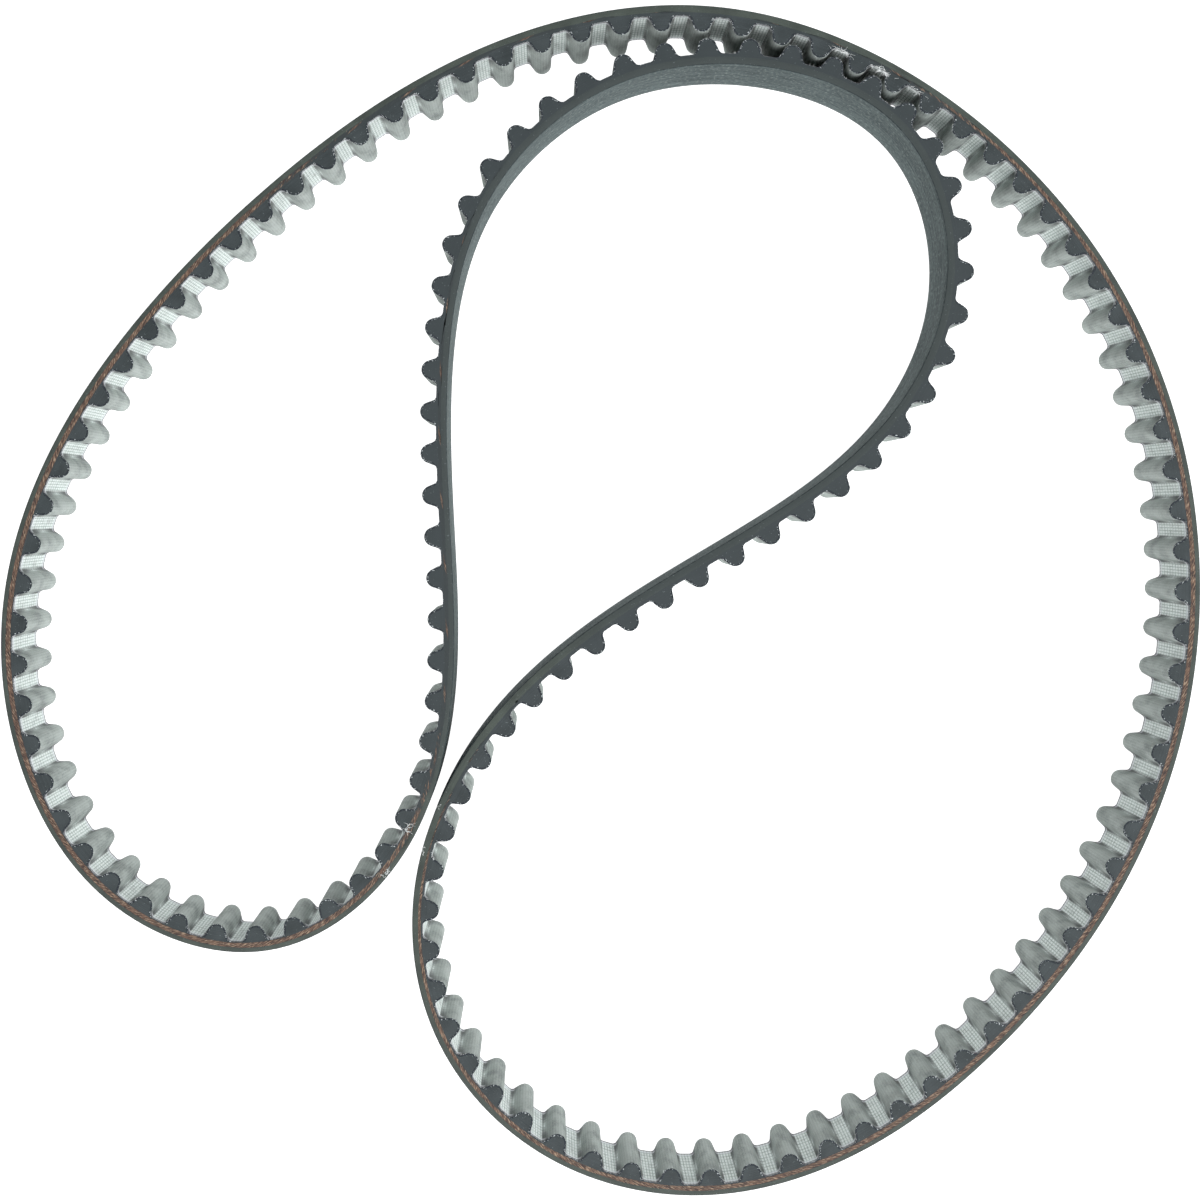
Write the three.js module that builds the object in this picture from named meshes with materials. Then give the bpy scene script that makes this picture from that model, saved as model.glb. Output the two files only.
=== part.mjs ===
// Endless automotive timing belt, standing on its cut edge and folded in on itself.
//
// The loop is 143 round teeth long. Its smooth back faces outwards all the way round, and one side
// of the loop is pushed in to form a lobe, so that inside the lobe the back faces inwards.
// Layers, from the back to the teeth: back rubber, tension cords, tooth rubber, woven facing fabric.
//
// Millimetres, +Z up across the belt's width. The origin is under the middle of the loop,
// at the height of the edge that the belt stands on.

import * as THREE from 'three';

// ---------------------------------------------------------------- driving dimensions

const TOOTH_COUNT = 143;
const WIDTH = 25.4;

// Heights are measured from the pitch line, positive towards the teeth.
const LAND = 0.686; // fabric surface between two teeth
const TOOTH_HEIGHT = 3.05; // from the land to the crest
const BACK_TO_LAND = 2.08; // thickness of the belt between two teeth
const BACK = LAND - BACK_TO_LAND;

const FABRIC_ON_LAND = 0.2; // the facing is pressed thin between the teeth
const RUBBER_WEB = 0.1; // rubber that joins one tooth to the next
const CORD_WINDING = 0.8; // thickness of the layer of cords
const LAYER_GAP = 0.05; // clearance between one layer and the next

// Half a tooth, as distances along the belt from the tooth's middle and heights above the land.
const LAND_EDGE = 3.0;
const FLANK_FOOT = [2.05, 0.95];
const SHOULDER = [1.3, 2.6];
const FABRIC_FOOT = 2.55; // the same corner on the inside of the facing
const FABRIC_CROWN = [0.85, 2.5];
const RUBBER_FOOT = 2.5; // and on the rubber under it
const RUBBER_CROWN = [0.8, 2.43];

// ---------------------------------------------------------------- route of the pitch line

// The pitch line passes through these points, about 32 mm apart. It starts beside the neck of
// the fold, runs down and round the outside of the loop with the teeth on its left, comes back to
// the neck and ends with the lobe. The first point is under the middle of a tooth.
const ROUTE = [
  // down the right of the neck, along the bottom and up the right side
  [-33.8, -51.7], [-30.7, -82.9], [-9.7, -106.0], [20.8, -113.2], [51.0, -104.2], [76.1, -84.9],
  [96.0, -60.3], [109.2, -31.4], [114.1, -0.2], [110.5, 31.3], [98.4, 60.6], [78.6, 85.3],
  // over the top and down the left side
  [52.8, 103.7], [22.6, 112.9], [-8.8, 109.9], [-37.8, 97.2], [-63.4, 78.4], [-85.8, 56.0],
  [-103.9, 29.9], [-113.6, -0.1], [-110.4, -31.5], [-93.0, -57.6], [-63.2, -65.9],
  // up the left of the neck, round the lobe and back
  [-38.4, -47.1], [-29.9, -16.6], [-30.4, 15.2], [-30.6, 47.0], [-22.8, 77.5], [-0.2, 99.3],
  [30.4, 104.3], [58.7, 91.7], [68.2, 62.3], [56.1, 33.6], [31.3, 13.8], [4.2, -2.8],
  [-19.7, -23.5],
].map(([x, y]) => new THREE.Vector2(x, y));

// A closed curve of even bending: a uniform cubic B-spline whose corners are moved, a little at
// a time, until the curve passes through every point.
class PitchLine extends THREE.Curve {
  constructor(points) {
    super();
    this.arcLengthDivisions = points.length * 200;
    this.corners = points.map((point) => point.clone());
    for (let round = 0; round < 60; round++) {
      const misses = points.map((point, i) => point.clone().sub(this.getPoint(i / points.length)));
      this.corners.forEach((corner, i) => corner.add(misses[i]));
    }
  }

  getPoint(t) {
    const count = this.corners.length;
    const span = Math.floor(t * count);
    const f = t * count - span;
    const weights = [
      (1 - f) ** 3,
      3 * f ** 3 - 6 * f ** 2 + 4,
      -3 * f ** 3 + 3 * f ** 2 + 3 * f + 1,
      f ** 3,
    ];
    const point = new THREE.Vector2();
    weights.forEach((weight, i) => {
      point.addScaledVector(this.corners[(span + i + count - 1) % count], weight / 6);
    });
    return point;
  }
}

const pitchLine = new PitchLine(ROUTE);
const beltLength = pitchLine.getLength();
const toothPitch = beltLength / TOOTH_COUNT;

// The belt's own frame at a distance along the pitch line.
function frameAt(distance) {
  const turns = distance / beltLength;
  const u = turns - Math.floor(turns);
  const tangent = pitchLine.getTangentAt(u);
  return {
    origin: pitchLine.getPointAt(u),
    tangent,
    towardsTeeth: new THREE.Vector2(-tangent.y, tangent.x),
  };
}

// ---------------------------------------------------------------- outlines

// One closed outline at a constant height, with a corner at both edges of every tooth.
function smoothOutline(height) {
  const outline = [];
  for (let tooth = 0; tooth < TOOTH_COUNT; tooth++) {
    for (const along of [-LAND_EDGE, LAND_EDGE]) {
      const { origin, towardsTeeth } = frameAt(tooth * toothPitch + along);
      outline.push(origin.addScaledVector(towardsTeeth, height));
    }
  }
  return outline;
}

// One closed outline with teeth. The foot of a tooth follows the bent belt, and the tooth above it
// keeps its moulded shape. The profile is one side of a tooth, from its foot to its crest.
function toothedOutline(foot, footHeight, profile) {
  const outline = [];
  for (let tooth = 0; tooth < TOOTH_COUNT; tooth++) {
    const middle = frameAt(tooth * toothPitch);
    const corner = (along, height) => middle.origin.clone()
      .addScaledVector(middle.tangent, along)
      .addScaledVector(middle.towardsTeeth, height);
    const footPoint = (along) => {
      const { origin, towardsTeeth } = frameAt(tooth * toothPitch + along);
      return origin.addScaledVector(towardsTeeth, footHeight);
    };
    outline.push(footPoint(-foot));
    profile.forEach(([along, height]) => outline.push(corner(-along, LAND + height)));
    const returning = profile.filter(([along]) => along > 0).reverse();
    returning.forEach(([along, height]) => outline.push(corner(along, LAND + height)));
    outline.push(footPoint(foot));
  }
  return outline;
}

// The band between two outlines, as wide as the belt. The back side runs round the outside.
function band(backSide, toothSide) {
  const shape = new THREE.Shape(backSide);
  shape.holes.push(new THREE.Path(toothSide));
  return new THREE.ExtrudeGeometry(shape, { depth: WIDTH, bevelEnabled: false });
}

// ---------------------------------------------------------------- layers

const fabricInside = LAND - FABRIC_ON_LAND;
const rubberOnLand = fabricInside - LAYER_GAP;
const webUnderside = rubberOnLand - RUBBER_WEB;
const cordTop = webUnderside - LAYER_GAP;
const cordBottom = cordTop - CORD_WINDING;
const backRubberTop = cordBottom - LAYER_GAP;

function backRubber() {
  return band(smoothOutline(BACK), smoothOutline(backRubberTop));
}

// The winding of both cords, as one plain band of its outer shape.
function tensionCords() {
  return band(smoothOutline(cordBottom), smoothOutline(cordTop));
}

function toothRubber() {
  return band(smoothOutline(webUnderside), toothedOutline(RUBBER_FOOT, rubberOnLand, [RUBBER_CROWN]));
}

function toothFabric() {
  const inside = toothedOutline(FABRIC_FOOT, fabricInside, [FABRIC_CROWN]);
  const outside = toothedOutline(LAND_EDGE, LAND, [FLANK_FOOT, SHOULDER, [0, TOOTH_HEIGHT]]);
  return band(inside, outside);
}

// ---------------------------------------------------------------- assembly

function piece(name, geometry, colour, roughness) {
  const material = new THREE.MeshStandardMaterial({ color: colour, roughness, metalness: 0 });
  const mesh = new THREE.Mesh(geometry, material);
  mesh.name = name;
  return mesh;
}

const belt = new THREE.Group();
belt.name = 'timing_belt';
belt.add(
  piece('back_rubber', backRubber(), 0x2f3839, 0.6),
  piece('tension_cords', tensionCords(), 0x8a5a42, 0.7),
  piece('tooth_rubber', toothRubber(), 0x3c464a, 0.65),
  piece('tooth_fabric', toothFabric(), 0x9aa39f, 0.85),
);

export default belt;
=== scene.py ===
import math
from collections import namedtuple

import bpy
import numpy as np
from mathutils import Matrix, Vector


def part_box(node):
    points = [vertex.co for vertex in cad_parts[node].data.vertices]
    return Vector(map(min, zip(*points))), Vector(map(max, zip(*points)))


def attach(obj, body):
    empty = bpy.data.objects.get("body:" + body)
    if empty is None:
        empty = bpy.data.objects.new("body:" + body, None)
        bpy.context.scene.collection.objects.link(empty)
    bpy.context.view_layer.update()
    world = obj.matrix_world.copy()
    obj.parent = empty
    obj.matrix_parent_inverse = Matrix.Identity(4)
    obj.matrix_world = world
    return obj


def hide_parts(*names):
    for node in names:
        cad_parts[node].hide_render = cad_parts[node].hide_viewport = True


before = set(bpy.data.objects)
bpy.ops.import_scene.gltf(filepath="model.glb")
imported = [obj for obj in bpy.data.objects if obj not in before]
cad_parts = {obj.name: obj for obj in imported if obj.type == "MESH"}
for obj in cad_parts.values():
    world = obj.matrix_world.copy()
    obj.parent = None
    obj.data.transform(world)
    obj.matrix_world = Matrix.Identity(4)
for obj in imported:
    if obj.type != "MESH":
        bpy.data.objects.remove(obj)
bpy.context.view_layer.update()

# Endless timing belt, standing on its cut edge and folded in on itself.
#
# Each layer is swept along the pitch line in the belt's own coordinates: the distance along the
# pitch line, the height above it towards the teeth, and z across the belt's width. Metres.

MM = 0.001

# ---------------------------------------------------------------- driving dimensions

BELT_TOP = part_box("back_rubber")[1][2]  # the upper cut edge; the lower one is at 0
TOOTH_COUNT = 143

# Heights from the pitch line, positive towards the teeth.
LAND = 0.686 * MM
BACK = LAND - 2.08 * MM

# The moulded tooth, with heights above the land.
CREST_RADIUS = 1.85 * MM
CREST_CENTRE = 1.20 * MM
FLANK_SLOPE = math.radians(20)
ROOT_RADIUS = 0.90 * MM
STEPS = {"crest": 5, "flank": 3, "root": 4, "land": 3}  # faces along each stretch of half a tooth

FABRIC_ON_TOOTH = 0.40 * MM
FABRIC_ON_LAND = 0.13 * MM
FABRIC_ROOT_RADIUS = 1.10 * MM
RIGID_ABOVE = 0.8 * MM  # a tooth keeps its moulded shape from this height above the land

# The winding: two cords side by side, one of S twist and one of Z twist.
CORD_RADIUS = 0.505 * MM
PLY_BULGE = 0.05 * MM
PLIES = 3
PLIES_PER_TURN = 92  # plies that pass one side of a cord in one turn of the belt
CLIMB = 2.8 * MM  # across the belt in one turn
CORD_ENDS = 0.995  # how far past a cut edge its middle goes on, as a share of its largest radius
CORD_STEP_CUT = 0.6 * MM  # from one ring of points to the next, where a cut edge opens the cord
CORD_STEP_BURIED = 3.0 * MM  # and where it is buried
CORD_ROUND_POINTS = 9  # of a ring, on its round part
CORD_FLAT_POINTS = 3  # and on the flat that a cut edge leaves

# Where each cord comes out through the upper cut edge, the sense of its twist, and the heights above
# its middle between which the knife left it clean. Past them a film of rubber covers it.
Cord = namedtuple("Cord", "name way_out twist clean")
CORDS = [
    Cord("tension_cord_s", 188 * MM, 1, (-0.40 * MM, 0.46 * MM)),
    Cord("tension_cord_z", 643 * MM, -1, (-0.20 * MM, 0.31 * MM)),
]

EDGE_ROUNDING = 0.14 * MM  # of the back, where it meets a cut edge
ROUNDING_STEPS = 3
BACK_ROWS = 8  # faces across the back, between its rounded edges
GROOVE_ROW = 0.35 * MM  # faces across the cords' grooves are about this wide
STATIONS_PER_TOOTH = 4  # along the back and the cords' grooves

LOBE = (730 * MM, 1110 * MM)  # the stretch of the belt that is folded in
LOBE_FADE = 40 * MM  # over which its smeared cut face comes and goes
WEAVE = 0.58 * MM  # from one thread of the facing to the next
RAGGED = 0.14 * MM  # how far the facing's cut edge wanders
FACING_ROWS = (0.0, 0.12, 0.5, 12.7, 24.9, 25.28, 25.4)  # mm down from the upper cut edge

# Broken ends of the facing's threads, along both cut edges.
STUBS = 1500
STUBS_ABOVE = 0.6  # the share of them on the upper edge
STUB_LENGTH = (0.12 * MM, 0.40 * MM)
STUB_RADIUS = (0.025 * MM, 0.045 * MM)
STUB_DISORDER = 0.7  # of their headings, which start straight out of the facing
STUB_DROOP = 0.6
STUB_INSET = 0.03 * MM  # of their feet from the cut edge
STUB_CLEARANCE = 0.06 * MM  # above the floor

# Longer tufts on the upper cut edge.
TUFT_RADIUS = (0.03 * MM, 0.05 * MM)
TUFT_SHORTEST = 0.4  # as a share of the tuft's longest hair
TUFT_DROOP = 0.4
TUFT_THICKNESS = 0.22  # mm, how far the feet are spread in height
# In mm: distance along the belt, height, number of hairs, the longest one, how far their feet are
# spread along the belt, and how far they turn away from its direction, in radians.
TUFTS = [
    (734.9, 0.6, 16, 1.3, 0.5, 2.0), (724.8, -0.8, 20, 0.7, 0.5, 2.0),
    (1140.8, -1.0, 10, 0.5, 0.5, 0.5), (1131.9, -1.2, 5, 0.4, 0.4, 2.0),
    (387.8, 0.9, 34, 1.0, 1.1, 0.5), (379.4, 0.9, 44, 1.2, 1.2, 0.5),
    (371.5, 1.0, 16, 0.9, 1.0, 0.5),
]

# The camera looks straight down, beside the middle of what it shows.
CAMERA_DISTANCE = 0.520  # above the upper cut edge
CAMERA_PLACE = (-0.0105, 0.0174)
VIEW_CENTRE = (-0.00009, 0.00005)
VIEW_WIDTH = 0.23107  # at the upper cut edge
SENSOR = 36.0

WHITE = (1.0, 1.0, 1.0, 1.0)
SKY = 0.22
FLOOR_GLOW = 1.1
FLOOR_REACH = 4.0  # from the middle to each side
SOFT_BOXES = [
    # name, place, side in metres, watts
    ("key_soft_box", (0.15, -0.8, 1.35), 1.0, 22.0),
    ("fill_soft_box", (1.1, 0.2, 0.9), 1.2, 12.0),
]

# The pitch line passes through these points. It runs down the right of the neck, round the outside
# of the loop with the teeth on its left, back to the neck and round the lobe.
ROUTE = MM * np.array([
    # down the right of the neck, along the bottom and up the right side
    [-33.8, -51.7], [-30.7, -82.9], [-9.7, -106.0], [20.8, -113.2], [51.0, -104.2], [76.1, -84.9],
    [96.0, -60.3], [109.2, -31.4], [114.1, -0.2], [110.5, 31.3], [98.4, 60.6], [78.6, 85.3],
    # over the top and down the left side
    [52.8, 103.7], [22.6, 112.9], [-8.8, 109.9], [-37.8, 97.2], [-63.4, 78.4], [-85.8, 56.0],
    [-103.9, 29.9], [-113.6, -0.1], [-110.4, -31.5], [-93.0, -57.6], [-63.2, -65.9],
    # up the left of the neck, round the lobe and back
    [-38.4, -47.1], [-29.9, -16.6], [-30.4, 15.2], [-30.6, 47.0], [-22.8, 77.5], [-0.2, 99.3],
    [30.4, 104.3], [58.7, 91.7], [68.2, 62.3], [56.1, 33.6], [31.3, 13.8], [4.2, -2.8],
    [-19.7, -23.5],
])

chance = np.random.default_rng(143)

# ---------------------------------------------------------------- pitch line


class PitchLine:
    """A closed uniform cubic B-spline whose corners are moved until it passes through the points."""

    FITTING_ROUNDS = 60
    STEPS_PER_SPAN = 200  # of the table of distances

    def __init__(self, points):
        self.count = len(points)
        self.corners = points.copy()
        own = np.arange(self.count, dtype=float)
        for _ in range(self.FITTING_ROUNDS):
            self.corners += points - self.point(own)
        self.table = np.linspace(0, self.count, self.count * self.STEPS_PER_SPAN + 1)
        steps = np.linalg.norm(np.diff(self.point(self.table), axis=0), axis=1)
        self.travelled = np.concatenate([[0], np.cumsum(steps)])
        self.length = self.travelled[-1]

    def _mix(self, parameter, weights):
        span = np.floor(parameter).astype(int)
        ways = weights(parameter - span)
        around = [self.corners[(span + i - 1) % self.count] for i in range(4)]
        return sum(way[:, None] * corner for way, corner in zip(ways, around)) / 6

    def point(self, parameter):
        return self._mix(parameter, lambda f: (
            (1 - f) ** 3,
            3 * f**3 - 6 * f**2 + 4,
            -3 * f**3 + 3 * f**2 + 3 * f + 1,
            f**3,
        ))

    def direction(self, parameter):
        return self._mix(parameter, lambda f: (
            -3 * (1 - f) ** 2,
            9 * f**2 - 12 * f,
            -9 * f**2 + 6 * f + 3,
            3 * f**2,
        ))

    def frames(self, distance):
        """Origin, tangent and direction towards the teeth at each distance."""
        parameter = np.interp(np.mod(distance, self.length), self.travelled, self.table)
        tangent = self.direction(parameter)
        tangent /= np.linalg.norm(tangent, axis=1, keepdims=True)
        teeth = np.stack([-tangent[:, 1], tangent[:, 0]], axis=1)
        return self.point(parameter), tangent, teeth


pitch_line = PitchLine(ROUTE)
belt_length = pitch_line.length
tooth_pitch = belt_length / TOOTH_COUNT


def lift(flat, z):
    """Flat points at the heights z above the floor."""
    return np.concatenate([flat, np.broadcast_to(z, len(flat))[:, None]], axis=1)


def bent(distance, height):
    """Points of the bent belt, seen from above."""
    origin, _, teeth = pitch_line.frames(distance)
    return origin + height[:, None] * teeth


def moulded(distance, height):
    """The same, but above the land each tooth keeps the shape it was moulded in."""
    tooth = np.round(distance / tooth_pitch) * tooth_pitch
    origin, tangent, teeth = pitch_line.frames(tooth)
    rigid = origin + (distance - tooth)[:, None] * tangent + height[:, None] * teeth
    share = np.clip((height - LAND) / RIGID_ABOVE, 0, 1)[:, None]
    share = share * share * (3 - 2 * share)
    return (1 - share) * bent(distance, height) + share * rigid


# ---------------------------------------------------------------- outlines


def half_tooth(inset, land_inset, root_radius):
    """From the crest to the middle of the land, as distances along the belt and heights."""
    crest_radius = CREST_RADIUS - inset
    root_height = root_radius - land_inset
    rise = math.sin(FLANK_SLOPE) * (root_height - CREST_CENTRE)
    root_middle = (crest_radius + root_radius - rise) / math.cos(FLANK_SLOPE)

    def arc(middle, radius, start, end, steps):
        angle = np.linspace(start, end, steps + 1)
        return np.stack([middle[0] + radius * np.cos(angle), middle[1] + radius * np.sin(angle)], 1)

    crest = arc((0, CREST_CENTRE), crest_radius, math.pi / 2, FLANK_SLOPE, STEPS["crest"])
    root = arc((root_middle, root_height), root_radius,
               math.pi + FLANK_SLOPE, 1.5 * math.pi, STEPS["root"])
    flank = np.linspace(crest[-1], root[0], STEPS["flank"] + 1)
    land = np.linspace(root[-1], (tooth_pitch / 2, -land_inset), STEPS["land"] + 1)
    return np.concatenate([crest, flank[1:], root[1:], land[1:]])


def toothed_outline(inset=0.0, land_inset=0.0, root_radius=ROOT_RADIUS):
    """Distances and heights all the way round the belt. The first point is in the middle of a land."""
    half = half_tooth(inset, land_inset, root_radius)
    left = half[::-1] * (-1, 1)
    tooth = np.concatenate([left, half[1:-1]])
    starts = np.arange(TOOTH_COUNT) * tooth_pitch
    distance = (starts[:, None] + tooth[None, :, 0]).ravel()
    return distance, np.tile(tooth[:, 1] + LAND, TOOTH_COUNT)


def from_tooth(distance):
    """Distance along the belt from the middle of the nearest tooth."""
    return distance - np.floor(distance / tooth_pitch + 0.5) * tooth_pitch


# ---------------------------------------------------------------- meshes


class Skin:
    """Gathers points and faces into one mesh, with the coordinates that the materials read."""

    # Each layer's name, and the length after which its first coordinate starts again.
    LAYERS = {"belt": belt_length, "section": tooth_pitch, "weave": None}

    def __init__(self, weave_length=None):
        self.points, self.coordinates = [], {name: [] for name in self.LAYERS}
        self.faces, self.finishes = [], []
        self.periods = dict(self.LAYERS, weave=weave_length)
        self.count = 0

    def add(self, points, belt, section=None, weave=None):
        """Adds points and returns their numbers."""
        given = {"belt": belt, "section": section, "weave": weave}
        for name, held in self.coordinates.items():
            values = np.zeros((len(points), 2)) if given[name] is None else np.stack(given[name], 1)
            held.append(values)
        self.points.append(points)
        self.count += len(points)
        return np.arange(self.count - len(points), self.count)

    def grid(self, numbers, finish=0, close=True):
        """Quads over rows of point numbers. The last row is joined to the first one if it closes."""
        after = np.roll(numbers, -1, axis=0) if close else numbers[1:]
        rows = numbers if close else numbers[:-1]
        quads = np.stack([rows[:, :-1], after[:, :-1], after[:, 1:], rows[:, 1:]], axis=-1)
        self.polygons(quads.reshape(-1, 4), finish)

    def polygons(self, faces, finish=0):
        self.faces.append(faces)
        self.finishes.append(np.full(len(faces), finish))

    def build(self, name, materials, sharp=35):
        """The piece, smooth but for edges of more than this many degrees."""
        corners = np.concatenate([face.ravel() for face in self.faces])
        sizes = np.concatenate([np.full(len(face), face.shape[1]) for face in self.faces])
        starts = np.concatenate([[0], np.cumsum(sizes)[:-1]])
        mesh = bpy.data.meshes.new(name)
        mesh.vertices.add(self.count)
        mesh.vertices.foreach_set("co", np.concatenate(self.points).astype(np.float32).ravel())
        mesh.loops.add(len(corners))
        mesh.loops.foreach_set("vertex_index", corners.astype(np.int32))
        mesh.polygons.add(len(sizes))
        mesh.polygons.foreach_set("loop_start", starts.astype(np.int32))
        mesh.polygons.foreach_set("material_index", np.concatenate(self.finishes).astype(np.int32))
        owner = np.repeat(np.arange(len(sizes)), sizes)
        for layer, held in self.coordinates.items():
            values = np.concatenate(held)[corners]
            period = self.periods[layer]
            if period:
                # A face that crosses the place where the count starts again goes on counting.
                highest = np.maximum.reduceat(values[:, 0], starts)[owner]
                behind = highest - values[:, 0] > period / 2
                values[behind, 0] += period
            mesh.uv_layers.new(name=layer).data.foreach_set("uv", values.astype(np.float32).ravel())
        mesh.update()
        mesh.validate()
        mesh.shade_smooth()
        mesh.set_sharp_from_angle(angle=math.radians(sharp))
        for material in materials:
            mesh.materials.append(material)
        piece = bpy.data.objects.new(name, mesh)
        bpy.context.scene.collection.objects.link(piece)
        return piece


# ---------------------------------------------------------------- cords in their grooves


def cord_height(cord, distance):
    """Height above the floor of the cord's middle, counted on from its way out at the upper edge."""
    return BELT_TOP + CLIMB * (distance - cord.way_out) / belt_length


def from_turn(away):
    """An offset across the belt, counted from the nearest turn of the cord instead of this one."""
    return np.mod(away + CLIMB / 2, CLIMB) - CLIMB / 2


def cord_radius(cord, distance, angle):
    """Outer radius of the plied cord, in a direction counted from straight up."""
    turned = 2 * math.pi * PLIES_PER_TURN * distance / belt_length
    return CORD_RADIUS + PLY_BULGE * np.cos(PLIES * angle - cord.twist * turned)


def cut_radius(cord, distance, away, facing):
    """Radius of the cord where a cut edge opens it. away is the height of the edge past the cord's
    middle, and facing is the direction of the edge, 0 for up and pi for down."""
    spread = np.arccos(np.clip(away / CORD_RADIUS, -1, 1))
    towards_edge = (cord_radius(cord, distance, facing) - CORD_RADIUS) / PLY_BULGE
    return CORD_RADIUS + PLY_BULGE * np.cos(PLIES * spread) * towards_edge


def opened(cord, distance, edge):
    """Half the width of the cord where the cut edge goes through it, or 0."""
    side, facing = (1, 0.0) if edge > 0 else (-1, math.pi)
    away = from_turn(side * (edge - cord_height(cord, distance)))
    radius = cut_radius(cord, distance, away, facing)
    return np.sqrt(np.maximum(radius**2 - away**2, 0))


def groove(distance, z):
    """Depth of the cords' bed in the rubber on either side of the pitch line."""
    depth = np.zeros((len(distance), len(z)))
    for cord in CORDS:
        away = from_turn(cord_height(cord, distance)[:, None] - z[None, :])
        bed = np.sqrt(np.maximum((CORD_RADIUS + PLY_BULGE) ** 2 - away**2, 0))
        bed[:, 0] = opened(cord, distance, 0.0)
        bed[:, -1] = opened(cord, distance, BELT_TOP)
        depth = np.maximum(depth, bed)
    return depth


groove_rows = np.linspace(0, BELT_TOP, round(BELT_TOP / GROOVE_ROW) + 1)
stations = np.arange(TOOTH_COUNT * STATIONS_PER_TOOTH)
groove_stations = (stations / STATIONS_PER_TOOTH - 0.5) * tooth_pitch
groove_depth = groove(groove_stations, groove_rows)


def grooved_face(skin, side):
    """The face of a rubber layer that beds the cords: side is 1 for the teeth and -1 for the back."""
    columns = []
    for z, depth in zip(groove_rows, groove_depth.T):
        columns.append(skin.add(
            lift(bent(groove_stations, side * depth), z),
            belt=(np.mod(groove_stations, belt_length), np.full(len(depth), z)),
            section=(from_tooth(groove_stations), side * depth),
        ))
    return np.stack(columns, axis=1)


def cord_stations(cord):
    """Distances of a cord's rings of points, close together where a cut edge opens it, and how far
    each one has come along the buried turns between, from 0 to 1."""
    reach = CORD_RADIUS + PLY_BULGE
    per_metre = CLIMB / belt_length
    first = cord.way_out - (BELT_TOP + CORD_ENDS * reach) / per_metre
    last = cord.way_out + CORD_ENDS * reach / per_metre
    opening = 2 * reach / per_metre
    distance = np.concatenate([
        np.arange(first, first + opening, CORD_STEP_CUT),
        np.arange(first + opening, last - opening, CORD_STEP_BURIED),
        np.arange(last - opening, last, CORD_STEP_CUT),
    ])
    return distance, np.clip((distance - first - opening) / (last - first - 2 * opening), 0, 1)


def cord_rings(cord, distance, buried):
    """Heights from the pitch line and z of a cord's rings: the round part, then the flat."""
    middle = cord_height(cord, distance)
    upper = middle > BELT_TOP / 2
    away = np.where(upper, BELT_TOP - middle, middle)
    # The flat that a cut edge leaves turns from below the cord to above it along the buried turns.
    facing = math.pi * (1 - buried)
    radius = cut_radius(cord, distance, away, facing)
    cut = np.abs(away) < radius
    least = math.pi / (CORD_ROUND_POINTS + CORD_FLAT_POINTS)
    half_flat = np.maximum(np.arccos(np.clip(away / radius, -1, 1)), least)
    round_part = 2 * math.pi - 2 * half_flat
    turns = half_flat[:, None] + np.linspace(0, 1, CORD_ROUND_POINTS) * round_part[:, None]
    angle = facing[:, None] + turns
    ring_radius = cord_radius(cord, distance[:, None], angle)
    across = -ring_radius * np.sin(angle)
    z = np.clip(middle[:, None] + ring_radius * np.cos(angle), 0, BELT_TOP)
    edge = np.where(upper, BELT_TOP, 0)
    for end in (0, -1):
        rim = -radius * np.sin(angle[:, end])
        across[:, end] = np.where(cut, rim, across[:, end])
        z[:, end] = np.where(cut, edge, z[:, end])
    share = np.linspace(0, 1, CORD_FLAT_POINTS + 2)[1:-1]
    flat_across = across[:, -1:] + share * (across[:, :1] - across[:, -1:])
    flat_z = z[:, -1:] + share * (z[:, :1] - z[:, -1:])
    return np.concatenate([across, flat_across], axis=1), np.concatenate([z, flat_z], axis=1)


def tension_cord(cord, material):
    """One cord of the winding, wound from the lower cut edge to the upper one and cut off by both."""
    distance, buried = cord_stations(cord)
    across, z = cord_rings(cord, distance, buried)
    middle = cord_height(cord, distance)
    skin = Skin()
    rings = []
    for ring_across, ring_z in zip(across.T, z.T):
        rings.append(skin.add(
            lift(bent(distance, ring_across), ring_z),
            belt=(distance, ring_z),
            section=(ring_across, ring_z - middle),
        ))
    rings = np.stack(rings + rings[:1], axis=1)
    skin.grid(rings, close=False)
    skin.polygons(rings[:1, :-1])
    skin.polygons(rings[-1:, -2::-1])
    # Counted along the cord, the distance never starts again.
    skin.periods.update(belt=None, section=None)
    return skin.build(cord.name, [material], sharp=50)


# ---------------------------------------------------------------- rubber and facing


def sweep(skin, distance, outline, height, z, weave=None):
    """Adds one line of points all the way round the belt at the height z above the floor."""
    z = np.broadcast_to(z, len(distance)).astype(float)
    return skin.add(
        lift(outline, z),
        belt=(np.mod(distance, belt_length), z),
        section=(from_tooth(distance), height),
        weave=None if weave is None else (weave, z / WEAVE),
    )


def back_rubber(ground, cut):
    """The smooth outer band, from its ground back to the cords' bed."""
    skin = Skin()
    bed = grooved_face(skin, side=-1)
    turn = np.linspace(0, math.pi / 2, ROUNDING_STEPS + 1)
    lower = list(zip(EDGE_ROUNDING * (1 - np.cos(turn)), EDGE_ROUNDING * (1 - np.sin(turn))))
    middle = [(z, 0.0) for z in np.linspace(0, BELT_TOP, BACK_ROWS + 1)[1:-1]]
    upper = [(BELT_TOP - z, inset) for z, inset in lower[::-1]]
    columns = []
    for z, inset in lower + middle + upper:
        height = np.full(len(groove_stations), BACK + inset)
        columns.append(sweep(skin, groove_stations, bent(groove_stations, height), height, z))
    back = np.stack(columns, axis=1)
    skin.grid(back, finish=0)
    skin.grid(bed[:, ::-1], finish=1)
    skin.grid(np.stack([back[:, -1], bed[:, -1]], axis=1), finish=1)
    skin.grid(np.stack([bed[:, 0], back[:, 0]], axis=1), finish=1)
    return skin.build("back_rubber_ground", [ground, cut])


def facing_underside():
    return toothed_outline(FABRIC_ON_TOOTH, FABRIC_ON_LAND, FABRIC_ROOT_RADIUS)


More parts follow.
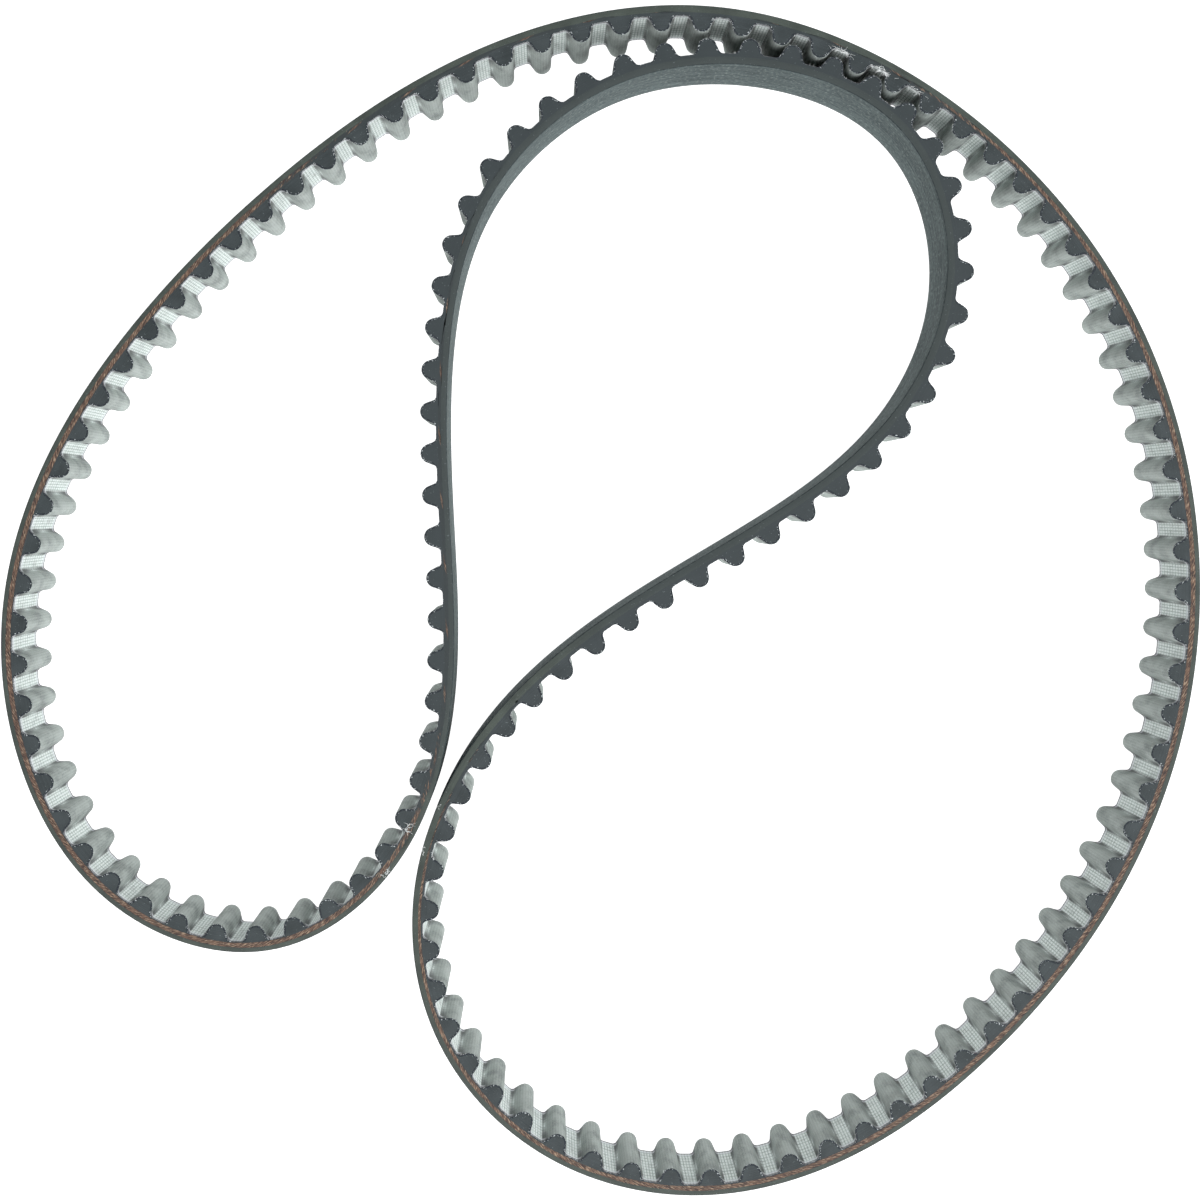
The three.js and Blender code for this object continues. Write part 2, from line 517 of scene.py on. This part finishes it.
def tooth_rubber(cut):
    """The toothed band, from the cords' bed to the underside of the facing."""
    skin = Skin()
    bed = grooved_face(skin, side=1)
    distance, height = facing_underside()
    outline = moulded(distance, height)
    lower, upper = (sweep(skin, distance, outline, height, z) for z in (0.0, BELT_TOP))
    skin.grid(np.stack([upper, lower], axis=1))
    skin.grid(bed)

    # The outline has more points than the bed, so each point of the bed is the hub of a fan.
    halfway = (distance + np.append(distance[1:], distance[0] + belt_length)) / 2
    hub = np.round((halfway / tooth_pitch + 0.5) * STATIONS_PER_TOOTH).astype(int) % len(bed)
    hub_after = np.roll(hub, -1)
    moves_on = hub != hub_after
    for line, row, order in ((upper, -1, 1), (lower, 0, -1)):
        after = np.roll(line, -1)
        fans = np.stack([bed[hub, row], after, line], axis=1)
        links = np.stack([bed[hub, row], bed[hub_after, row], after], axis=1)[moves_on]
        skin.polygons(np.concatenate([fans, links])[:, ::order])
    return skin.build("tooth_rubber_moulded", [cut])


def tooth_fabric(woven, cut):
    """The woven facing over the teeth and lands, with a ragged cut at both edges."""
    distance, height = toothed_outline()
    half = half_tooth(0.0, 0.0, ROOT_RADIUS)
    steps = np.linalg.norm(np.diff(half, axis=0), axis=1)
    one_tooth = np.concatenate([steps[::-1], steps])
    travelled = np.concatenate([[0], np.cumsum(np.tile(one_tooth, TOOTH_COUNT))])
    threads = 2 * round(travelled[-1] / WEAVE / 2)
    weave = travelled[:-1] * threads / travelled[-1]

    skin = Skin(weave_length=threads)
    outside = []
    for depth in FACING_ROWS:
        z = BELT_TOP - depth * MM
        at_cut = depth in (FACING_ROWS[0], FACING_ROWS[-1])
        ragged = chance.uniform(0, RAGGED, len(distance)) if at_cut else 0
        worn = height - ragged
        outside.append(sweep(skin, distance, moulded(distance, worn), worn, z, weave))
    outside = np.stack(outside, axis=1)
    distance, height = facing_underside()
    inside = [
        sweep(skin, distance, moulded(distance, height), height, z, weave)
        for z in (0.0, BELT_TOP / 2, BELT_TOP)
    ]
    inside = np.stack(inside, axis=1)
    skin.grid(outside, finish=0)
    skin.grid(inside, finish=1)
    skin.grid(np.stack([inside[:, -1], outside[:, 0]], axis=1), finish=1)
    skin.grid(np.stack([outside[:, -1], inside[:, 0]], axis=1), finish=1)
    return skin.build("tooth_fabric_woven", [woven, cut], sharp=50)


# ---------------------------------------------------------------- loose fibres


def fibre(skin, path, radius):
    """A thin hair along a path of points, pointed at its far end."""
    sides = 5
    tip = 0.35  # its radius, as a share of the foot's
    slant = (0.31, 0.52, 0.8)  # a direction that no hair runs along
    along = np.gradient(path, axis=0)
    along /= np.linalg.norm(along, axis=1, keepdims=True)
    aside = np.cross(along, slant)
    aside /= np.linalg.norm(aside, axis=1, keepdims=True)
    above = np.cross(along, aside)
    width = radius * np.linspace(1, tip, len(path))[:, None]
    turns = np.arange(sides) * 2 * math.pi / sides
    nothing = np.zeros(len(path))
    rings = [
        skin.add(path + width * (math.cos(a) * aside + math.sin(a) * above), (nothing, nothing))
        for a in turns
    ]
    rings = np.stack(rings + rings[:1], axis=1)
    skin.grid(rings, close=False)
    skin.polygons(rings[:1, -2::-1])
    skin.polygons(rings[-1:, :-1])


def strand(foot, heading, length, droop):
    """A curved path from a foot, in a horizontal heading, rising first and then drooping."""
    points = 6
    most_bend = 0.9  # to either side, as a share of the length
    rise_share = 0.45
    lowest = -0.1 * MM  # from its foot
    t = np.linspace(0, 1, points)[:, None]
    bend = chance.uniform(-most_bend, most_bend)
    turned = np.array([-heading[1], heading[0]])
    flat = foot[:2] + length * (t * heading + bend * t * t * turned)
    rise = length * (rise_share * t - droop * t * t)
    return np.concatenate([flat, foot[2] + np.maximum(rise, lowest)], axis=1)


def add_stubs(skin):
    """Short broken ends that stick out of the facing at its cut edges. The lower ones hang down."""
    # Their feet are a little way into the facing.
    distance, height = toothed_outline(FABRIC_ON_TOOTH * 0.2, FABRIC_ON_LAND * 0.3)
    picked = chance.choice(len(distance), STUBS, replace=False)
    places = moulded(distance, height)
    inwards = 0.1 * MM  # a small step, to find the way out
    out = places - moulded(distance, height - inwards)
    out /= np.linalg.norm(out, axis=1, keepdims=True)
    for i in picked:
        upper = chance.random() < STUBS_ABOVE
        heading = out[i] + chance.normal(0, STUB_DISORDER, 2)
        heading /= np.linalg.norm(heading)
        length = chance.uniform(*STUB_LENGTH)
        foot = np.append(places[i], BELT_TOP - STUB_INSET if upper else STUB_INSET)
        path = strand(foot, heading, length, STUB_DROOP)
        if not upper:
            path[:, 2] = np.clip(2 * foot[2] - path[:, 2], STUB_CLEARANCE, None)
        fibre(skin, path, chance.uniform(*STUB_RADIUS))


def add_tufts(skin):
    """Longer hairs that lie on the upper cut edge."""
    for along, up, count, longest, spread, disorder in TUFTS:
        for _ in range(count):
            foot_distance = np.array([along + chance.normal(0, spread)]) * MM
            foot_height = np.array([up + chance.normal(0, TUFT_THICKNESS)]) * MM
            foot = np.append(bent(foot_distance, foot_height)[0], BELT_TOP)
            _, tangent, teeth = pitch_line.frames(foot_distance)
            turn = chance.choice([0, math.pi]) + chance.normal(0, disorder)
            heading = math.cos(turn) * tangent[0] + math.sin(turn) * teeth[0]
            length = chance.uniform(TUFT_SHORTEST, 1) * longest * MM
            path = strand(foot, heading, length, TUFT_DROOP)
            fibre(skin, path, chance.uniform(*TUFT_RADIUS))


def frayed_fibres(material):
    """Loose ends of the facing's threads."""
    skin = Skin()
    add_stubs(skin)
    add_tufts(skin)
    skin.periods.update(belt=None, section=None)
    return skin.build("frayed_fibres", [material], sharp=80)


# ---------------------------------------------------------------- shader maths


def srgb(red, green, blue):
    """A linear colour from its 8-bit display values."""
    def linear(value):
        value /= 255
        return value / 12.92 if value <= 0.04045 else ((value + 0.055) / 1.055) ** 2.4
    return (linear(red), linear(green), linear(blue), 1.0)


class Value:
    """An output of a node. Arithmetic on it adds Math nodes."""

    def __init__(self, shader, socket):
        self.shader, self.socket = shader, socket

    def math(self, operation, *operands):
        inputs = dict(enumerate(operands))
        return self.shader.node("ShaderNodeMath", {"operation": operation}, inputs)

    def __add__(self, other):
        return self.math("ADD", self, other)

    def __sub__(self, other):
        return self.math("SUBTRACT", self, other)

    def __rsub__(self, other):
        return self.math("SUBTRACT", other, self)

    def __mul__(self, other):
        return self.math("MULTIPLY", self, other)

    def __truediv__(self, other):
        return self.math("DIVIDE", self, other)

    __radd__, __rmul__ = __add__, __mul__

    def size(self):
        return self.math("ABSOLUTE", self)

    def sine(self):
        return self.math("SINE", self)

    def at_most(self, other):
        return self.math("MINIMUM", self, other)

    def at_least(self, other):
        return self.math("MAXIMUM", self, other)

    def between(self, low, high):
        """0 below low, 1 above high and smooth between them. With low above high it falls."""
        limits = {"Value": self, "From Min": low, "From Max": high}
        return self.shader.node("ShaderNodeMapRange", {"interpolation_type": "SMOOTHSTEP"}, limits)


class Shader:
    """A material under construction."""

    def __init__(self, name):
        self.material = bpy.data.materials.new(name)
        self.material.use_nodes = True
        self.tree = self.material.node_tree
        self.tree.nodes.clear()

    def node(self, kind, settings=None, inputs=None, output=0):
        made = self.tree.nodes.new(kind)
        for name, value in (settings or {}).items():
            setattr(made, name, value)
        for name, value in (inputs or {}).items():
            if isinstance(value, Value):
                self.tree.links.new(value.socket, made.inputs[name])
            else:
                made.inputs[name].default_value = value
        return Value(self, made.outputs[output]) if made.outputs else None

    def coordinate(self, layer):
        """The two coordinates that the mesh holds in a layer."""
        place = self.node("ShaderNodeUVMap", {"uv_map": layer})
        return [self.node("ShaderNodeSeparateXYZ", None, {0: place}, axis) for axis in (0, 1)]

    def vector(self, x, y):
        return self.node("ShaderNodeCombineXYZ", None, {0: x, 1: y})

    def noise(self, place, detail, scale=1.0):
        inputs = {"Vector": place, "Scale": scale, "Detail": detail}
        return self.node("ShaderNodeTexNoise", None, inputs)

    def object_noise(self, size, detail):
        """Noise over the whole piece, with features of about this size."""
        place = self.node("ShaderNodeTexCoord", output="Object")
        return self.noise(place, detail, 1 / size)

    def blend(self, share, first, second):
        return self.node("ShaderNodeMix", {"data_type": "RGBA"}, {0: share, 6: first, 7: second}, 2)

    def bump(self, height, distance, strength):
        inputs = {"Height": height, "Distance": distance, "Strength": strength}
        return self.node("ShaderNodeBump", None, inputs)

    def finish(self, colour, roughness, normal=None, **constants):
        """The finished material. A constant has its socket's name, with _ for each space."""
        inputs = {"Base Color": colour, "Roughness": roughness}
        if normal:
            inputs["Normal"] = normal
        inputs |= {name.replace("_", " "): value for name, value in constants.items()}
        surface = self.node("ShaderNodeBsdfPrincipled", None, inputs)
        self.node("ShaderNodeOutputMaterial", None, {"Surface": surface})
        return self.material


# ---------------------------------------------------------------- materials


# A noise over shader.vector has its scales on the two coordinates, in features per metre.

# Heights above the land between which the facing's look turns from the land's into the tooth's.
ON_TOOTH = (0.15 * MM, 1.0 * MM)

# Painted shade, dirt and a painted highlight on the facing, by the distance from the nearer cut edge.
ROOT_SHADE_HEIGHT = 2.1 * MM  # of the painted shade in a tooth's root, at the cut edge
ROOT_SHADE_REACH = 16 * MM  # from there to where it ends
ROOT_SHADE_DARKENS = (13 * MM, 3 * MM)  # it is faint before the first and darkest after the second
MARGIN_DARKENS = (1.2 * MM, 0.7 * MM)  # the same for the margin on the lands
EDGE_HIGHLIGHT = (0.9 * MM, 1.3 * MM, 1.9 * MM, 2.6 * MM)  # of the painted highlight on the lands: where it starts, is full, fades and ends


def from_cut_edge(across):
    """How far a place across the belt is from the nearer cut edge."""
    return BELT_TOP / 2 - (across - BELT_TOP / 2).size()


def knife_cut(name, dark, light, lobe_shade, edge_shade=None):
    """Rubber where the knife went through it: fine marks along the belt, blotches and dust. Round
    the lobe it is smeared with another shade, and beside the back it may have one more."""
    shader = Shader(name)
    along, _ = shader.coordinate("belt")
    _, height = shader.coordinate("section")
    marks = shader.noise(shader.vector(along * 60.0, height * 9000.0), 3.0)
    blotches = shader.object_noise(5 * MM, 3.0)
    grain = shader.object_noise(0.18 * MM, 2.0)
    dust = shader.object_noise(0.35 * MM, 1.0).between(0.70, 0.78)
    share = (marks * 0.35 + blotches * 0.5 + grain * 0.3).between(0.38, 0.78)
    colour = shader.blend(share, dark, light)
    if edge_shade:
        rim = height.between(BACK + 0.35 * MM, BACK)
        colour = shader.blend(rim * 0.35, colour, edge_shade)
    starts, ends = LOBE
    in_lobe = along.between(starts, starts + LOBE_FADE) * along.between(ends, ends - LOBE_FADE)
    colour = shader.blend(in_lobe * (0.6 + 0.3 * blotches), colour, lobe_shade)
    colour = shader.blend(dust * 0.35, colour, srgb(128, 138, 140))
    roughness = 0.62 + 0.2 * (grain - 0.5) - 0.1 * (marks - 0.5)
    normal = shader.bump(marks * 0.6 + grain, 0.03 * MM, 0.5)
    return shader.finish(colour, roughness, normal, Specular_IOR_Level=0.35)


def ground_back():
    """The ground back: streaks along the belt, fine speckle and a darker line by the cut edges."""
    shader = Shader("ground_back_rubber")
    along, across = shader.coordinate("belt")
    streaks = shader.noise(shader.vector(along * 18.0, across * 1500.0), 3.0)
    fine = shader.noise(shader.vector(along * 260.0, across * 5200.0), 2.0)
    speckle = shader.noise(shader.vector(along * 1500.0, across * 650.0), 4.0)
    blotches = shader.object_noise(9 * MM, 2.0)
    share = (streaks * 0.8 + fine * 0.6 + blotches * 0.35 - 0.36).between(0.25, 0.80)
    colour = shader.blend(share, srgb(66, 76, 77), srgb(110, 122, 122))
    colour = shader.blend(speckle.between(0.54, 0.68) * 0.4, colour, srgb(150, 160, 159))
    colour = shader.blend(speckle.between(0.46, 0.34) * 0.4, colour, srgb(42, 50, 53))
    near_edge = from_cut_edge(across).between(0.45 * MM, 0.12 * MM)
    colour = shader.blend(near_edge * 0.7, colour, srgb(44, 50, 53))
    roughness = 0.75 + 0.25 * (streaks - 0.5) + 0.2 * (speckle - 0.5)
    normal = shader.bump(streaks * 1.5 + fine * 0.6 + speckle * 0.5, 0.05 * MM, 0.6)
    return shader.finish(colour, roughness, normal, Specular_IOR_Level=0.04)


def weave(shader):
    """The facing's threads, and the gaps between them that draw a grid on the lands."""
    warp, weft = shader.coordinate("weave")
    wander = shader.object_noise(1.2 * MM, 2.0) - 0.5
    ridge_warp = ((warp + wander * 0.35) * math.pi).sine()
    ridge_weft = ((weft + wander * 0.35) * math.pi).sine()
    crossing = ridge_warp * ridge_weft
    threads = (ridge_warp.size() + crossing).at_least(ridge_weft.size() - crossing) * 0.5
    # A gap shows beside each warp thread and after every fourth weft thread.
    deep_weft = ((weft / 4 + wander * 0.06) * math.pi).sine().size().between(0.50, 0.15)
    deep_warp = ((warp + wander * 0.30) * math.pi).sine().size().between(0.60, 0.20)
    patchy = shader.object_noise(0.9 * MM, 2.0).between(0.35, 0.65)
    return threads, deep_weft.at_least(deep_warp * 0.8) * (0.35 + 0.65 * patchy)


def woven_facing():
    """Plain-woven facing, clean and light on the lands, greyer on the teeth, with painted shade at the
    roots.
    """
    shader = Shader("woven_facing")
    along, across = shader.coordinate("belt")
    _, height = shader.coordinate("section")
    threads, grid = weave(shader)
    above = height - LAND
    on_tooth = above.between(*ON_TOOTH)
    soil = shader.noise(shader.vector(along * 450.0, across * 110.0), 4.0)
    fuzz = shader.object_noise(0.12 * MM, 2.0)
    land = shader.blend(threads.between(0.1, 0.62), srgb(190, 206, 202), srgb(246, 254, 252))
    land = shader.blend(grid * 0.7, land, srgb(106, 122, 118))
    mottle = soil * 0.7 + fuzz * 0.5 + threads * 0.12
    tooth = shader.blend(mottle.between(0.42, 0.90), srgb(98, 108, 105), srgb(180, 190, 186))
    tooth = shader.blend(grid * 0.12, tooth, srgb(84, 92, 90))
    tooth = shader.blend(fuzz.between(0.60, 0.72) * 0.35, tooth, srgb(212, 220, 216))
    colour = shader.blend(on_tooth, land, tooth)
    colour = shader.blend(soil.between(0.5, 0.75) * 0.3, colour, srgb(112, 122, 118))

    # Painted shade in the roots, in a wedge that is tallest at a cut edge.
    from_cut = from_cut_edge(across)
    tall = (1 - from_cut / ROOT_SHADE_REACH).at_least(0.0) * ROOT_SHADE_HEIGHT
    tall = tall * (1 + 0.5 * (soil - 0.5))
    root_shade = above.between(tall, tall * 0.25) * above.between(0.0, 0.12 * MM)
    root_shade = root_shade * tall.between(0.0, 0.4 * MM)
    near_cut = from_cut.between(*ROOT_SHADE_DARKENS)
    colour = shader.blend(root_shade * (0.45 + 0.45 * near_cut), colour, srgb(44, 51, 51))

    # On the lands the cut edge is soiled, and a painted highlight follows it.
    starts, full, fades, ends = EDGE_HIGHLIGHT
    line = from_cut.between(starts, full) * from_cut.between(ends, fades) * (1 - on_tooth)
    colour = shader.blend(line * 0.55, colour, srgb(236, 240, 246))
    soiled = from_cut.between(*MARGIN_DARKENS) * (1 - on_tooth)
    colour = shader.blend(soiled * 0.75, colour, srgb(86, 84, 94))

    roughness = 0.82 + 0.2 * (fuzz - 0.5)
    normal = shader.bump(threads + fuzz * 0.35, 0.07 * MM, 0.5)
    return shader.finish(colour, roughness, normal, Specular_IOR_Level=0.2, Sheen_Weight=0.15)


def cut_facing():
    """The facing's own cut edge: rubber-soaked threads with light broken ends among them."""
    shader = Shader("cut_facing")
    flecks = shader.object_noise(0.28 * MM, 2.0)
    grain = shader.object_noise(0.12 * MM, 2.0)
    colour = shader.blend(grain.between(0.35, 0.65), srgb(24, 29, 35), srgb(54, 62, 68))
    colour = shader.blend(flecks.between(0.60, 0.68) * 0.9, colour, srgb(206, 214, 216))
    roughness = 0.75 + 0.15 * (grain - 0.5)
    normal = shader.bump(flecks + grain * 0.5, 0.05 * MM, 0.8)
    return shader.finish(colour, roughness, normal, Specular_IOR_Level=0.3)


def glass_cord(cord):
    """Rubber-dipped glass yarn: brown, with long slivers where the cut opens the plies, and a film
    of rubber over it where the knife didn't leave it clean."""
    shader = Shader(cord.name + "_glass")
    along, _ = shader.coordinate("belt")
    aside, rise = shader.coordinate("section")
    lean = aside * 4200.0 + rise * 900.0 + along * (cord.twist * 1300.0)
    slivers = shader.noise(shader.vector(lean, along * 700.0), 3.0)
    fine_lean = aside * 7000.0 + along * (cord.twist * 2600.0)
    frays = shader.noise(shader.vector(fine_lean, along * 900.0), 2.0)
    off_middle = (aside / CORD_RADIUS).size()
    colour = shader.blend(slivers.between(0.36, 0.64), srgb(60, 47, 43), srgb(114, 89, 74))
    colour = shader.blend(frays.between(0.54, 0.66) * 0.8, colour, srgb(177, 154, 130))
    colour = shader.blend(frays.between(0.44, 0.34) * 0.75, colour, srgb(45, 38, 40))
    colour = shader.blend(off_middle.between(0.72, 1.0) * 0.75, colour, srgb(43, 42, 49))

    # The film's border wanders, and the top of each ply shows through it as a fleck.
    low, high = cord.clean
    border = 0.05 * MM
    risen = rise + (slivers - 0.5) * (0.25 * MM)
    film = risen.between(high, high + border) + risen.between(low, low - border)
    ply = along * (2 * math.pi * PLIES_PER_TURN / belt_length) + aside * (cord.twist * 2500.0)
    fleck = ply.sine().between(0.80, 0.97) * off_middle.between(0.6, 0.2)
    film = film.at_most(1.0) * (1 - fleck * 0.8)
    colour = shader.blend(film, colour, srgb(51, 58, 60))

    roughness = 0.6 + 0.3 * (slivers - 0.5)
    normal = shader.bump(slivers + frays * 0.8, 0.08 * MM, 0.8)
    return shader.finish(colour, roughness, normal, Specular_IOR_Level=0.35)


def fibre_finish():
    """Loose threads: nearly white."""
    shader = Shader("loose_fibre")
    tone = shader.object_noise(0.8 * MM, 1.0)
    colour = shader.blend(tone, srgb(222, 228, 228), srgb(252, 254, 254))
    roughness = 0.7 + 0.1 * (tone - 0.5)
    normal = shader.bump(tone, 0.01 * MM, 0.3)
    return shader.finish(colour, roughness, normal, Specular_IOR_Level=0.3)


def light_table():
    """The pale floor. It glows a little, so that the belt's shadow on it hardly shows."""
    shader = Shader("light_table")
    tone = shader.object_noise(40 * MM, 1.0)
    colour = shader.blend(tone, srgb(160, 160, 160), srgb(164, 164, 164))
    return shader.finish(
        colour, 0.9, Specular_IOR_Level=0.0, Emission_Color=WHITE, Emission_Strength=FLOOR_GLOW)


# ---------------------------------------------------------------- camera, floor and light


def add_camera():
    """Looks straight down at the belt's upper edge, over the lobe's left side."""
    data = bpy.data.cameras.new("camera")
    data.sensor_width = SENSOR
    data.lens = SENSOR * CAMERA_DISTANCE / VIEW_WIDTH
    data.shift_x = (VIEW_CENTRE[0] - CAMERA_PLACE[0]) / VIEW_WIDTH
    data.shift_y = (VIEW_CENTRE[1] - CAMERA_PLACE[1]) / VIEW_WIDTH
    camera = bpy.data.objects.new("camera", data)
    camera.location = (*CAMERA_PLACE, BELT_TOP + CAMERA_DISTANCE)
    bpy.context.scene.collection.objects.link(camera)
    bpy.context.scene.camera = camera


def add_floor():
    """A plain floor, large enough for low views from the sides."""
    ways = [(-1, -1), (1, -1), (1, 1), (-1, 1)]
    mesh = bpy.data.meshes.new("floor")
    mesh.from_pydata([(x * FLOOR_REACH, y * FLOOR_REACH, 0) for x, y in ways], [], [(0, 1, 2, 3)])
    mesh.materials.append(light_table())
    floor = bpy.data.objects.new("floor", mesh)
    bpy.context.scene.collection.objects.link(floor)


def add_light():
    """Two square soft boxes that are aimed at the middle of the belt, and an even pale sky."""
    for name, place, size, power in SOFT_BOXES:
        data = bpy.data.lights.new(name, "AREA")
        data.shape, data.size, data.energy = "SQUARE", size, power
        lamp = bpy.data.objects.new(name, data)
        lamp.location = place
        aim = -lamp.location.normalized()
        lamp.rotation_euler = aim.to_track_quat("-Z", "Y").to_euler()
        bpy.context.scene.collection.objects.link(lamp)
    world = bpy.data.worlds.new("studio")
    world.use_nodes = True
    background = world.node_tree.nodes["Background"]
    background.inputs["Color"].default_value = WHITE
    background.inputs["Strength"].default_value = SKY
    scene = bpy.context.scene
    scene.world = world
    scene.view_settings.view_transform = "Standard"


# ---------------------------------------------------------------- assembly


def fit(piece, node):
    """A piece that stands for a CAD node. It goes under the root body, and the node's own mesh is
    hidden.
    """
    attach(piece, "root")
    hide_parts(node)


add_camera()
add_floor()
add_light()

slate_cut = knife_cut(
    "cut_tooth_rubber", srgb(41, 49, 51), srgb(63, 71, 74), lobe_shade=srgb(52, 60, 63))
olive_cut = knife_cut(
    "cut_back_rubber", srgb(54, 61, 58), srgb(77, 86, 80),
    lobe_shade=srgb(54, 62, 64), edge_shade=srgb(81, 90, 78))

fit(back_rubber(ground_back(), olive_cut), "back_rubber")
for tension in CORDS:
    fit(tension_cord(tension, glass_cord(tension)), "tension_cords")
fit(tooth_rubber(slate_cut), "tooth_rubber")
fit(tooth_fabric(woven_facing(), cut_facing()), "tooth_fabric")
fit(frayed_fibres(fibre_finish()), "tooth_fabric")
